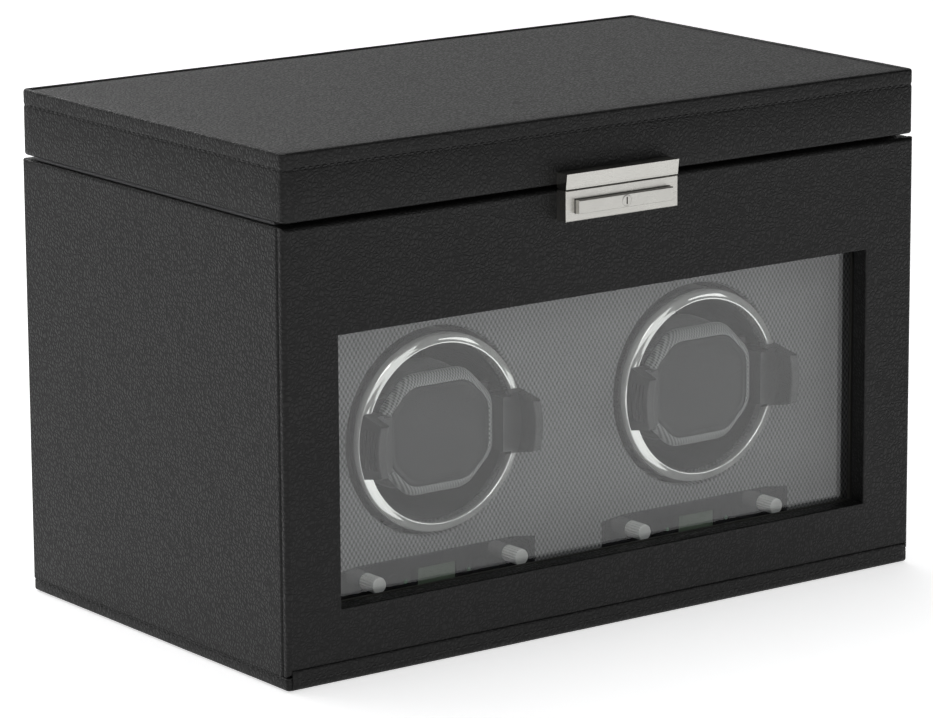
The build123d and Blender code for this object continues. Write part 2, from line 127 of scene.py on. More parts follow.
def blend_colours(tree, share, first, second):
    """A colour between two, by share."""
    node = add(tree, "Mix", data_type="RGBA")
    feed(tree, node.inputs[0], share)
    feed(tree, node.inputs[6], (*first, 1.0))
    feed(tree, node.inputs[7], (*second, 1.0))
    return node.outputs[2]


def bump(tree, shader, height, depth, strength=1.0):
    """Relief of this depth from a height between 0 and 1."""
    settings = {"Height": height, "Distance": depth, "Strength": strength}
    feed(tree, shader.inputs["Normal"], add(tree, "Bump", settings).outputs[0])


# --- Materials --------------------------------------------------------------------------------


def leather(name, dark, light, roughness, pebble, relief, specular=0.35):
    """Grained leather: flat pebbles with creases between them, over a soft unevenness."""
    tree, shader = new_material(name)
    at = place(tree)
    shift = add(tree, "TexNoise", {"Vector": at, "Scale": 1 / (3 * pebble), "Detail": 1.0})
    scaled = add(tree, "VectorMath", {0: shift.outputs["Color"]}, operation="SCALE")
    scaled.inputs["Scale"].default_value = 1.8 * pebble
    bent = add(tree, "VectorMath", {0: at, 1: scaled.outputs[0]}, operation="ADD").outputs[0]
    cells = add(
        tree, "TexVoronoi", {"Vector": bent, "Scale": 1 / pebble}, feature="DISTANCE_TO_EDGE"
    )
    crease = spread(tree, cells.outputs["Distance"], 0.0, 1.0, (0.0, 0.28))
    pores = noise_at(tree, at, 0.35 * pebble, 1.0)
    uneven = noise_at(tree, at, 14 * pebble, 2.0)
    grain = weighted(tree, crease, 0.7, pores, 0.3)
    height = maths(tree, "ADD", grain, maths(tree, "MULTIPLY", uneven, 1.2))
    tone = maths(tree, "MULTIPLY", crease, spread(tree, uneven, 0.55, 1.0), clamp=True)
    feed(tree, shader.inputs["Base Color"], blend_colours(tree, tone, dark, light))
    feed(tree, shader.inputs["Roughness"], spread(tree, grain, roughness + 0.12, roughness - 0.04))
    shader.inputs["Specular IOR Level"].default_value = specular
    bump(tree, shader, height, relief)


def woven(name, dark, light, pitch_x, pitch_z, relief, turned=0.0):
    """Cloth with thread floats in a diamond lattice, which turns with Y where it wraps round."""
    tree, shader = new_material(name)
    at = place(tree)
    axes = add(tree, "SeparateXYZ", {0: at}).outputs
    wobble = maths(tree, "MULTIPLY", noise_at(tree, at, 12 * MM), 0.2 * pitch_x)
    depth = maths(tree, "MULTIPLY", axes[1], turned)
    across = maths(tree, "ADD", maths(tree, "ADD", axes[0], depth), wobble)
    along = maths(tree, "ADD", maths(tree, "SUBTRACT", axes[2], depth), wobble)
    waves = [
        maths(tree, "COSINE", maths(tree, "MULTIPLY", value, 2 * math.pi / pitch))
        for value, pitch in ((across, pitch_x), (along, pitch_z))
    ]
    lattice = spread(tree, maths(tree, "MULTIPLY", waves[0], waves[1]), 0.0, 1.0, (-0.75, 0.75))
    fibres = noise_at(tree, at, 0.25 * MM, 2.0)
    patches = noise_at(tree, at, 16 * MM)
    tone = weighted(tree, lattice, 0.88, fibres, 0.12)
    shade = maths(tree, "MULTIPLY", tone, spread(tree, patches, 0.88, 1.0), clamp=True)
    feed(tree, shader.inputs["Base Color"], blend_colours(tree, shade, dark, light))
    feed(tree, shader.inputs["Roughness"], spread(tree, fibres, 0.62, 0.8))
    shader.inputs["Sheen Weight"].default_value = 0.25
    shader.inputs["Sheen Roughness"].default_value = 0.4
    bump(tree, shader, tone, relief)


def brushed_cloth(name, dark, light, nap=0.5 * MM):
    """Short napped suede cloth or felt."""
    tree, shader = new_material(name)
    at = place(tree)
    fibres = noise_at(tree, at, nap, 4.0, 0.65)
    strokes = noise_at(tree, at, 18 * MM, 2.0)
    tone = maths(tree, "MULTIPLY", spread(tree, fibres, 0.2, 1.0), spread(tree, strokes, 0.7, 1.0))
    feed(tree, shader.inputs["Base Color"], blend_colours(tree, tone, dark, light))
    feed(tree, shader.inputs["Roughness"], spread(tree, strokes, 0.85, 0.95))
    shader.inputs["Sheen Weight"].default_value = 0.5
    shader.inputs["Specular IOR Level"].default_value = 0.2
    bump(tree, shader, fibres, 0.15 * MM)


def polished_metal(name, colour, roughness=0.035, metallic=1.0):
    """Plated metal with faint wiping marks.

    Below a metallic of 1 it is partly diffuse, which stands in for reflections that the lamps lack.
    """
    tree, shader = new_material(name)
    at = place(tree)
    marks = noise_at(tree, at, 2.5 * MM, 5.0, 0.7)
    shader.inputs["Base Color"].default_value = (*colour, 1.0)
    shader.inputs["Metallic"].default_value = metallic
    feed(tree, shader.inputs["Roughness"], spread(tree, marks, roughness, 1.8 * roughness))
    bump(tree, shader, noise_at(tree, at, 20 * MM), 0.02 * MM)


def brushed_metal(name, dark, light, roughness):
    """Metal with a fine grain that runs along X."""
    tree, shader = new_material(name)
    at = place(tree)
    stretched = add(tree, "Mapping", {"Vector": at, "Scale": (0.03, 1.0, 1.0)}).outputs[0]
    grain = noise_at(tree, stretched, 0.22 * MM, 3.0, 0.6)
    patches = noise_at(tree, at, 12 * MM)
    shader.inputs["Metallic"].default_value = 1.0
    feed(tree, shader.inputs["Base Color"], blend_colours(tree, grain, dark, light))
    wear = maths(tree, "MULTIPLY", spread(tree, patches, 0.9, 1.1), spread(tree, grain, 0.85, 1.15))
    feed(tree, shader.inputs["Roughness"], maths(tree, "MULTIPLY", wear, roughness))
    bump(tree, shader, grain, 0.012 * MM)


def moulded(name, dark, light, roughness, texture=0.6 * MM, relief=0.004 * MM, coat=0.0):
    """Moulded plastic, rubber, lacquer or painted board with a fine surface texture."""
    tree, shader = new_material(name)
    at = place(tree)
    fine = noise_at(tree, at, texture, 3.0, 0.6)
    broad = noise_at(tree, at, 25 * texture, 2.0)
    feed(tree, shader.inputs["Base Color"], blend_colours(tree, broad, dark, light))
    feed(tree, shader.inputs["Roughness"], spread(tree, fine, roughness * 0.95, roughness * 1.05))
    shader.inputs["Coat Weight"].default_value = coat
    shader.inputs["Coat Roughness"].default_value = 0.02
    bump(tree, shader, fine, relief)


def window_glass(name):
    """Clear glass that lets lamps light what is behind it."""
    tree, shader = new_material(name)
    at = place(tree)
    shader.inputs["Base Color"].default_value = (0.985, 1.0, 0.993, 1.0)
    shader.inputs["Transmission Weight"].default_value = 1.0
    shader.inputs["IOR"].default_value = 1.5
    feed(tree, shader.inputs["Roughness"], spread(tree, noise_at(tree, at, 30 * MM), 0.0, 0.004))
    clear = add(tree, "BsdfTransparent", {"Color": (0.95, 0.97, 0.96, 1.0)})
    shadow = add(tree, "LightPath").outputs["Is Shadow Ray"]
    output = tree.nodes["Material Output"]
    mixed = add(tree, "MixShader", {0: shadow, 1: shader.outputs[0], 2: clear.outputs[0]})
    feed(tree, output.inputs["Surface"], mixed.outputs[0])


def thread(name, dark, light):
    """Twisted sewing thread."""
    tree, shader = new_material(name)
    at = place(tree)
    twist = noise_at(tree, at, 0.3 * MM, 2.0)
    feed(tree, shader.inputs["Base Color"], blend_colours(tree, twist, dark, light))
    feed(tree, shader.inputs["Roughness"], spread(tree, twist, 0.5, 0.7))
    bump(tree, shader, twist, 0.05 * MM)


leather(
    "black_leather", (0.003, 0.003, 0.003), (0.009, 0.009, 0.0088), 0.41, 1.9 * MM, 0.19 * MM, 0.25
)
leather("pad_leather", (0.012, 0.0125, 0.0125), (0.026, 0.027, 0.027), 0.42, 0.8 * MM, 0.03 * MM)
woven("grey_woven", (0.035, 0.035, 0.037), (0.26, 0.26, 0.265), 2.2 * MM, 3.53 * MM, 0.10 * MM)
woven("cuff_woven", (0.02, 0.021, 0.022), (0.40, 0.405, 0.405), 1.4 * MM, 2.0 * MM, 0.12 * MM)
woven(
    "collar_woven", (0.015, 0.016, 0.016), (0.11, 0.112, 0.112), 1.4 * MM, 2.0 * MM, 0.10 * MM, 1.0
)
brushed_cloth("lining_fabric", (0.07, 0.07, 0.075), (0.18, 0.18, 0.185))
brushed_cloth("base_felt", (0.008, 0.008, 0.008), (0.022, 0.022, 0.022), 0.7 * MM)
moulded("board_wood", (0.018, 0.016, 0.014), (0.032, 0.029, 0.025), 0.6, 1.2 * MM)
window_glass("clear_glass")
polished_metal("chrome", (0.90, 0.895, 0.88), 0.02, 0.7)
polished_metal("hinge_nickel", (0.72, 0.70, 0.66), 0.12)
polished_metal("knob_chrome", (0.95, 0.945, 0.93), 0.14, 0.45)
brushed_metal("satin_steel", (0.42, 0.412, 0.385), (0.60, 0.592, 0.56), 0.3)
moulded("black_plastic", (0.013, 0.013, 0.013), (0.018, 0.018, 0.018), 0.32)
moulded("gloss_black", (0.006, 0.006, 0.007), (0.008, 0.008, 0.010), 0.05, 4 * MM, 0.001 * MM, 0.5)
moulded("display_green", (0.085, 0.115, 0.082), (0.10, 0.135, 0.096), 0.2, relief=0.002 * MM)
moulded("circuit_green", (0.012, 0.07, 0.025), (0.02, 0.11, 0.04), 0.45)
brushed_metal("bush_bronze", (0.45, 0.30, 0.15), (0.62, 0.43, 0.23), 0.38)
moulded("belt_rubber", (0.012, 0.012, 0.012), (0.022, 0.022, 0.022), 0.65, relief=0.06 * MM)
thread("black_thread", (0.002, 0.002, 0.002), (0.009, 0.009, 0.009))

slot_of = {part["node"]: part["material_slot"] for part in frame["record"]["subparts"]}
finish_of = {
    "base_felt": "base_felt",
    "lid_hinge_body_leaves": "hinge_nickel",
    "lid_hinge_lid_leaves": "hinge_nickel",
    "lid_hinge_pins": "hinge_nickel",
}


def paint(piece, material):
    """Give a piece this one material."""
    piece.data.materials.clear()
    piece.data.materials.append(bpy.data.materials[material])


for name, node in nodes.items():
    finish = "knob_chrome" if name.startswith("knob_") else slot_of[name]
    paint(node, finish_of.get(name, finish))


# --- Mesh helpers -----------------------------------------------------------------------------


def finish_mesh(name, body, material, vertices, faces, smooth=True):
    """A piece from its vertices and faces, painted, given its name and riding on its body."""
    mesh = bpy.data.meshes.new(name)
    mesh.from_pydata([tuple(v) for v in vertices], [], faces)
    builder = bmesh.new()
    builder.from_mesh(mesh)
    bmesh.ops.remove_doubles(builder, verts=builder.verts, dist=1e-7)
    bmesh.ops.recalc_face_normals(builder, faces=builder.faces)
    builder.to_mesh(mesh)
    builder.free()
    mesh.polygons.foreach_set("use_smooth", [smooth] * len(mesh.polygons))
    piece = bpy.data.objects.new(name, mesh)
    bpy.context.scene.collection.objects.link(piece)
    paint(piece, material)
    if body:
        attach(piece, body)
    return piece


def loft_faces(count, loops, wrap=False):
    """Quads between consecutive closed loops of count points each."""
    faces = []
    for row in range(loops if wrap else loops - 1):
        here, there = row * count, (row + 1) % loops * count
        for i in range(count):
            j = (i + 1) % count
            faces.append((here + i, here + j, there + j, there + i))
    return faces


def arc(centre, radius, start, end, steps):
    """Points of an arc in the plane, angles in degrees, ends included."""
    turns = [math.radians(start + (end - start) * i / steps) for i in range(steps + 1)]
    return [(centre[0] + radius * math.cos(t), centre[1] + radius * math.sin(t)) for t in turns]


def rounded_rectangle(half_x, half_y, radius, side_steps=1, corner_steps=6):
    """A closed loop in the plane, with the straight sides cut into side_steps."""
    loop = []
    for quarter in range(4):
        corner_x = (half_x - radius) * (1 if quarter in (0, 3) else -1)
        corner_y = (half_y - radius) * (1 if quarter in (0, 1) else -1)
        bend = arc((corner_x, corner_y), radius, 90 * quarter, 90 * quarter + 90, corner_steps)
        if loop:
            loop += between(loop[-1], bend[0], side_steps)
        loop += bend
    return loop + between(loop[-1], loop[0], side_steps)


def between(first, last, steps):
    """The points that cut the line between two points into steps, ends left out."""
    return [
        tuple(a + (b - a) * i / steps for a, b in zip(first, last))
        for i in range(1, steps)
    ]


def loop_count(side_steps, corner_steps=6):
    """How many points a rounded rectangle's loop has."""
    return 4 * (corner_steps + 1) + 4 * (side_steps - 1)


def wavy(vertices, size, amount):
    """Points moved a little by a smooth noise, as covered board is never quite flat.

    Blender seeds noise_vector from the clock and no seed is set here, so the waves differ a little
    from run to run.
    """
    return [
        v + amount * (noise.noise_vector(v / size) - 0.4 * noise.noise_vector(v / (3 * size)))
        for v in vertices
    ]


# --- Lid and base leather ---------------------------------------------------------------------


def swept_frame(name, body, slot, half_x, half_y, corner, profile, replaced, middle=(0.0, 0.0)):
    """A closed profile of (inset, z) points carried round a rounded rectangle."""
    side_steps = 24
    sharpest = 0.3 * MM
    vertices = []
    for inset, z in profile:
        radius = max(corner - inset, sharpest)
        loop = rounded_rectangle(half_x - inset, half_y - inset, radius, side_steps)
        vertices += [Vector((middle[0] + x, middle[1] + y, z)) for x, y in loop]
    faces = loft_faces(loop_count(side_steps), len(profile), wrap=True)
    vertices = wavy(vertices, 35 * MM, 0.10 * MM)
    piece = finish_mesh(name, body, slot, vertices, faces)
    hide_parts(replaced)
    return piece


def groove(inset, z, width, depth):
    """Outline of a shallow sewn groove across an upright face, from below it to above it."""
    shape = ((-1.0, 0.0), (-0.55, 0.35), (-0.25, 0.9), (0.25, 0.9), (0.55, 0.35), (1.0, 0.0))
    return [(inset + share * depth, z + step * width / 2) for step, share in shape]


lid_low, lid_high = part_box("lid_frame")
panel_low, panel_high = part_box("lid_top_panel")
lining_low, lining_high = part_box("lid_lining")
lid_half_x, lid_half_y = lid_high.x, lid_high.y
lid_wall = lid_high.x - lining_high.x - 0.5 * MM
ridge_width = lid_high.x - panel_high.x - 0.3 * MM
lid_stitch_z = lid_high.z - 7.0 * MM
soft_edge = 1.3 * MM

lid_profile = (
    [(lid_wall, lining_high.z), (lid_wall, lid_low.z + soft_edge)]
    + arc((lid_wall - soft_edge, lid_low.z + soft_edge), soft_edge, 0, -90, 4)
    + arc((soft_edge, lid_low.z + soft_edge), soft_edge, -90, -180, 5)
    + groove(0.0, lid_stitch_z, 2.4 * MM, 0.28 * MM)
    + arc((soft_edge, lid_high.z - soft_edge), soft_edge, 180, 90, 5)
    + arc((ridge_width - soft_edge, lid_high.z - soft_edge), soft_edge, 90, 0, 4)
    + [(ridge_width, lining_high.z)]
)
swept_frame(
    "lid_cover", "lid", "black_leather", lid_half_x, lid_half_y, 2.4 * MM, lid_profile, "lid_frame"
)


def crowned_top(name, body, slot, low, high, edge, crown, replaced):
    """A covered panel: rounded edges all round and a top that rises a little to the middle."""
    cuts = [0.0, 0.12, 0.35, 0.65, 1.0]
    span_x, span_y = (high.x - low.x) / 2, (high.y - low.y) / 2
    middle = (low + high) / 2

    def lines(span, inner_steps):
        near = [-span + edge * cut for cut in cuts]
        inner = span - edge
        wide = [-inner + 2 * inner * i / inner_steps for i in range(1, inner_steps)]
        return near + wide + [-value for value in reversed(near)]

    xs, ys = lines(span_x, 26), lines(span_y, 16)
    vertices = []
    for y in ys:
        for x in xs:
            drop = 0.0
            for distance in (span_x - abs(x), span_y - abs(y)):
                short = max(0.0, 1 - distance / edge)
                drop += edge * (1 - math.sqrt(1 - min(short, 1.0) ** 2))
            rise = crown * (1 - (x / span_x) ** 2) * (1 - (y / span_y) ** 2)
            z = high.z - min(drop, edge) + rise
            vertices.append(Vector((middle.x + x, middle.y + y, z)))
    vertices = wavy(vertices, 40 * MM, 0.12 * MM)
    width, rows = len(xs), len(ys)
    faces = []
    for row in range(rows - 1):
        for i in range(width - 1):
            a = row * width + i
            faces.append((a, a + 1, a + 1 + width, a + width))
    rim = list(range(width))
    rim += [row * width + width - 1 for row in range(1, rows)]
    rim += [(rows - 1) * width + i for i in range(width - 2, -1, -1)]
    rim += [row * width for row in range(rows - 2, 0, -1)]
    start = len(vertices)
    vertices += [Vector((vertices[i].x, vertices[i].y, low.z)) for i in rim]
    for k in range(len(rim)):
        after = (k + 1) % len(rim)
        faces.append((rim[k], rim[after], start + after, start + k))
    faces.append(tuple(start + k for k in range(len(rim))))
    piece = finish_mesh(name, body, slot, vertices, faces)
    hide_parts(replaced)
    return piece


crowned_top(
    "lid_top_leather", "lid", "black_leather", panel_low, panel_high, 1.1 * MM, 0.35 * MM,
    "lid_top_panel",
)

base_low, base_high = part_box("base_board")
base_stitch_z = base_low.z + 4.9 * MM
base_round = 1.2 * MM
base_edge = 0.3 * MM
base_band = 12 * MM
base_profile = (
    [(base_band, base_high.z), (base_band, base_low.z), (base_round, base_low.z)]
    + arc((base_round, base_low.z + base_round), base_round, -90, -172, 8)
    + groove(0.0, base_stitch_z, 0.9 * MM, 0.22 * MM)
    + arc((base_edge, base_high.z - base_edge), base_edge, 180, 90, 3)
)
swept_frame(
    "base_cover", "root", "black_leather", base_high.x, base_high.y, 2.2 * MM, base_profile,
    "base_board",
)


# --- Stitching --------------------------------------------------------------------------------


def stitch_template(length, width, height):
    """A short bowed thread along X, its top towards +Z."""
    rings, around = 7, 6
    points = []
    for i in range(rings):
        t = -1 + 2 * i / (rings - 1)
        swell = math.sqrt(max(0.0, 1 - t ** 4)) * 0.92 + 0.08
        for k in range(around):
            turn = 2 * math.pi * k / around
            points.append(
                Vector((
                    t * length / 2,
                    swell * width / 2 * math.cos(turn),
                    swell * height / 2 * math.sin(turn) - abs(t) ** 3 * height * 0.45,
                ))
            )
    faces = loft_faces(around, rings)
    faces.append(tuple(range(around)))
    faces.append(tuple((rings - 1) * around + k for k in range(around)))
    return points, faces


def stitches(name, body, runs, pitch, size, slant=10.0):
    """Rows of stitches of (length, width, height): each run is (start, end, outward direction)."""
    points, shape = stitch_template(*size)
    vertices, faces = [], []
    for start, end, outward in runs:
        along = (end - start).normalized()
        across = outward.cross(along).normalized()
        count = max(2, round((end - start).length / pitch))
        for i in range(count):
            centre = start.lerp(end, (i + 0.5) / count)
            tilt = math.radians(slant + 3.0 * noise.noise(centre / (4 * MM)))
            forward = along * math.cos(tilt) + across * math.sin(tilt)
            sideways = across * math.cos(tilt) - along * math.sin(tilt)
            base = len(vertices)
            for p in points:
                vertices.append(centre + forward * p.x + sideways * p.y + outward * p.z)
            faces += [tuple(base + k for k in face) for face in shape]
    return finish_mesh(name, body, "black_thread", vertices, faces)


def round_the_case(half_x, half_y, z, clear, depth):
    """Stitch runs on the back, left, right and front, clear of the corners and set in by depth."""
    x, y = half_x - depth, half_y - depth
    in_x, in_y = half_x - clear, half_y - clear
    return [
        (Vector((in_x, y, z)), Vector((-in_x, y, z)), Vector((0, 1, 0))),
        (Vector((-x, in_y, z)), Vector((-x, -in_y, z)), Vector((-1, 0, 0))),
        (Vector((x, -in_y, z)), Vector((x, in_y, z)), Vector((1, 0, 0))),
        (Vector((-in_x, -y, z)), Vector((in_x, -y, z)), Vector((0, -1, 0))),
    ]


lid_runs = round_the_case(lid_half_x, lid_half_y, lid_stitch_z, 5 * MM, 0.12 * MM)
stitch_pitch = 3.6 * MM
lid_stitch = (2.6 * MM, 0.75 * MM, 0.6 * MM)
stitches("lid_stitching", "lid", lid_runs, stitch_pitch, lid_stitch)


# --- Hinge strip and base stitching -----------------------------------------------------------

strip_low, strip_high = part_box("door_hinge_strip")
door_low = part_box("door_frame")[0]
hinge_z = door_low.z - 0.2 * MM


def hinge_strip():
    """The leather that joins the base to the door: it follows the base below the fold."""
    front = door_low.y
    outside = front - 0.55 * MM
    rows = [
        (front + 0.05 * MM, strip_low.z - 0.4 * MM),
        (front - 0.35 * MM, strip_low.z - 0.5 * MM),
        (outside, strip_low.z + 0.2 * MM),
        (outside, strip_low.z + 1.6 * MM),
        (outside + 0.14 * MM, strip_low.z + 2.4 * MM),
        (outside, strip_low.z + 3.2 * MM),
        (outside, hinge_z - 0.2 * MM),
        (outside + 0.1 * MM, hinge_z + 0.7 * MM),
        (outside, hinge_z + 1.6 * MM),
        (outside + 0.15 * MM, hinge_z + 2.6 * MM),
        (front - 0.1 * MM, hinge_z + 3.0 * MM),
        (front + 0.15 * MM, hinge_z + 2.9 * MM),
    ]
    steps = 120
    vertices, faces = [], []
    for i in range(steps + 1):
        x = strip_low.x + (strip_high.x - strip_low.x) * i / steps
        vertices += [Vector((x, y, z)) for y, z in rows]
    count = len(rows)
    for i in range(steps):
        for k in range(count):
            after = (k + 1) % count
            a, b = i * count, (i + 1) * count
            faces.append((a + k, a + after, b + after, b + k))
    faces.append(tuple(range(count)))
    faces.append(tuple(steps * count + k for k in range(count)))
    leather_name = "black_leather"
    piece = finish_mesh("hinge_strip_leather", None, leather_name, vertices, faces)
    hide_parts("door_hinge_strip")
    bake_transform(piece)


hinge_strip()
side_runs = round_the_case(base_high.x, base_high.y, base_stitch_z, 4 * MM, 0.1 * MM)[:3]
front_y = door_low.y - 0.5 * MM
strip_mid = (strip_low.z + strip_high.z) / 2 + 0.3 * MM
front_run = (
    Vector((strip_low.x + 3 * MM, front_y, strip_mid)),
    Vector((strip_high.x - 3 * MM, front_y, strip_mid)),
    Vector((0, -1, 0)),
)
base_stitch = (2.6 * MM, 0.7 * MM, 0.5 * MM)
stitches(
    "base_stitching", "root", side_runs + [front_run], stitch_pitch, base_stitch
)


# --- Cuffs ------------------------------------------------------------------------------------


def octagon(half_x, half_z, cut, bend=11.0 * MM, steps=5, side_steps=5):
    """A closed loop in the plane: a rectangle with 45 degree corners, its points rounded."""
    corners = [
        (half_x, half_z - cut), (half_x - cut, half_z), (-half_x + cut, half_z),
        (-half_x, half_z - cut), (-half_x, -half_z + cut), (-half_x + cut, -half_z),
        (half_x - cut, -half_z), (half_x, -half_z + cut),
    ]
    loop = []
    reach = min(bend * math.tan(math.radians(22.5)), 0.6 * cut)
    for index, corner in enumerate(corners):
        here = Vector(corner)
        before = (Vector(corners[index - 1]) - here).normalized()
        after = (Vector(corners[(index + 1) % 8]) - here).normalized()
        first, last = here + before * reach, here + after * reach
        bent = []
        for i in range(steps + 1):
            t = i / steps
            bent.append(first.lerp(here, t).lerp(here.lerp(last, t), t))
        if loop:
            loop += [loop[-1].lerp(bent[0], i / side_steps) for i in range(1, side_steps)]
        loop += bent
    return loop + [loop[-1].lerp(loop[0], i / side_steps) for i in range(1, side_steps)]


def stacked(name, body, material, middle, sections, closed=True, wrap=False):
    """A form built of octagon sections (half_x, half_z, cut, y) from back to front."""
    vertices = []
    for half_x, half_z, cut, y in sections:
        loop = octagon(half_x, half_z, cut)
        vertices += [Vector((middle.x + p.x, y, middle.z + p.y)) for p in loop]
    count = len(octagon(1.0, 1.0, 0.4))
    faces = loft_faces(count, len(sections), wrap)
    if closed:
        last = (len(sections) - 1) * count
        faces.append(tuple(range(count)))
        faces.append(tuple(last + k for k in range(count)))
    return finish_mesh(name, body, material, vertices, faces)


def cuff(side):
    """One watch cuff: woven border, sewn leather face and the pillow behind them."""
    body = f"drum_{side}"
    low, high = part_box(f"cuff_pad_{side}")
    middle = (low + high) / 2
    half_x, half_z = (high.x - low.x) / 2, (high.z - low.z) / 2
    cut = 14.0 * MM
    slope_x, slope_z = 3.2 * MM, 4.7 * MM
    face_x, face_z, face_cut = half_x - slope_x, half_z - slope_z, 10.8 * MM
    front = low.y

    # Woven border: it rolls over the board's edge and slopes in to the leather.
    def inset(share, y):
        return (
            half_x - share * slope_x,
            half_z - share * slope_z,
            cut - (cut - face_cut) * min(share, 1.0),
            y,
        )

    border = [
        inset(0.34, high.y), inset(0.07, high.y - 0.5 * MM), inset(0.0, high.y - 1.6 * MM),
        inset(0.03, high.y - 3.0 * MM), inset(0.18, high.y - 4.4 * MM),
        inset(0.42, high.y - 5.6 * MM), inset(0.70, front + 0.5 * MM),
        inset(0.92, front + 0.2 * MM), inset(1.07, front + 0.4 * MM), inset(1.2, front + 1.2 * MM),
    ]
    piece = stacked(f"cuff_border_{side}", body, "cuff_woven", middle, border)
    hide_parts(f"cuff_pad_{side}")

    # Leather face: its edge tucked down beside the border, then a low crown. In the photograph
    # it sits a little left of the middle of the pad.
    face_middle = middle - Vector((0.8 * MM, 0, 0))

    def leather_ring(amount, rise):
        ring_cut = max(face_cut - 0.55 * amount, 0.4 * MM)
        return (face_x - amount, face_z - amount, ring_cut, front - rise)

    stitch_in = 2.1 * MM
    crown = [
        (0.0, -1.0 * MM), (0.05 * MM, -0.2 * MM), (0.45 * MM, 0.12 * MM), (1.1 * MM, 0.2 * MM),
        (stitch_in - 0.5 * MM, 0.12 * MM), (stitch_in, -0.02 * MM),
        (stitch_in + 0.5 * MM, 0.12 * MM),
        (3.4 * MM, 0.34 * MM), (5.0 * MM, 0.5 * MM), (7.5 * MM, 0.64 * MM), (10.5 * MM, 0.74 * MM),
        (14.0 * MM, 0.8 * MM), (17.5 * MM, 0.82 * MM),
    ]
    sections = [leather_ring(amount, rise) for amount, rise in crown]
    face = stacked(f"cuff_face_{side}", body, "pad_leather", face_middle, sections)

    # Its stitches run along the straight edges and across the bends between them.
    steps = 5
    inner_cut = face_cut - 0.55 * stitch_in
    outline = octagon(face_x - stitch_in, face_z - stitch_in, inner_cut, steps=steps, side_steps=1)
    level = front + 0.06 * MM
    points = [Vector((face_middle.x + p.x, level, middle.z + p.y)) for p in outline]
    outward = Vector((0, -1, 0))
    runs = []
    for edge in range(8):
        after = (edge + 1) % 8 * (steps + 1)
        runs.append((points[edge * (steps + 1) + steps], points[after], outward))
        runs.append((points[after], points[after + steps], outward))
    pad_stitch = (1.8 * MM, 0.45 * MM, 0.34 * MM)
    stitches(
        f"cuff_stitching_{side}", body, runs, 2.5 * MM, pad_stitch, slant=6.0
    )

    # Pillow: a stuffed woven collar round the core, drawn in at both ends.
    low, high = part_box(f"cuff_pillow_{side}")
    core_x, core_z = 20.25 * MM, 17.25 * MM
    depth = high.y - low.y

    def collar(amount, share):
        return (half_x - amount, half_z - amount, cut - 0.5 * amount, low.y + share * depth)

    def sleeve(share):
        return (core_x, core_z, 1.2 * MM, low.y + share * depth)

    sections = [sleeve(0.03), collar(6.0 * MM, 0.0), collar(3.0 * MM, 0.012)]
    sections += [
        collar(2.0 * MM * (1 - math.sin(math.pi * share)) ** 1.6 + 0.1 * MM, share)
        for share in (0.04, 0.1, 0.2, 0.35, 0.5, 0.65, 0.8, 0.9, 0.96)
    ]
    sections += [collar(3.0 * MM, 0.988), collar(6.0 * MM, 1.0), sleeve(0.97)]
    pillow = stacked(
        f"cuff_collar_{side}", body, "collar_woven", middle, sections,
        closed=False, wrap=True,
    )
    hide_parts(f"cuff_pillow_{side}")


def chrome_ring(side):
    """The polished ring at the mouth of a drum, turned smooth enough for its reflections."""
    low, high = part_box(f"drum_ring_{side}")
    middle = (low + high) / 2
    rim = (high.x - low.x) / 2
    ring_width, lip = 4.4 * MM, 0.55 * MM
    bore = rim - ring_width
    front, shoulder = low.y, low.y + 3.0 * MM
    profile = [(bore, high.y), (bore, front + 0.6 * MM)]
    profile += arc((bore + lip, front + lip), lip, 180, 290, 6)
    # A low flank, then a turn back to the upright rim.
    turn_in = (rim - 0.75 * MM, front + 1.15 * MM)
    profile += [
        (bore + 1.1 * MM, front + 0.28 * MM), (bore + 1.8 * MM, front + 0.46 * MM),
        (bore + 2.6 * MM, front + 0.72 * MM),
    ]
    swell = [turn_in, (rim - 0.08 * MM, front + 1.5 * MM), (rim, shoulder)]
    for i in range(9):
        t = i / 8
        x = (1 - t) ** 2 * swell[0][0] + 2 * t * (1 - t) * swell[1][0] + t * t * swell[2][0]
        y = (1 - t) ** 2 * swell[0][1] + 2 * t * (1 - t) * swell[1][1] + t * t * swell[2][1]
        profile.append((x, y))
    profile.append((rim, high.y))
    steps = 192
    vertices = []
    for radius, y in profile:
        for i in range(steps):
            turn = 2 * math.pi * i / steps
            x, z = radius * math.cos(turn), radius * math.sin(turn)
            vertices.append(Vector((middle.x + x, y, middle.z + z)))
    faces = loft_faces(steps, len(profile), wrap=True)
    piece = finish_mesh(f"ring_chrome_{side}", f"drum_{side}", "chrome", vertices, faces)
    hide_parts(f"drum_ring_{side}")


for side in SIDES:
    cuff(side)
    chrome_ring(side)


# --- Linings ----------------------------------------------------------------------------------


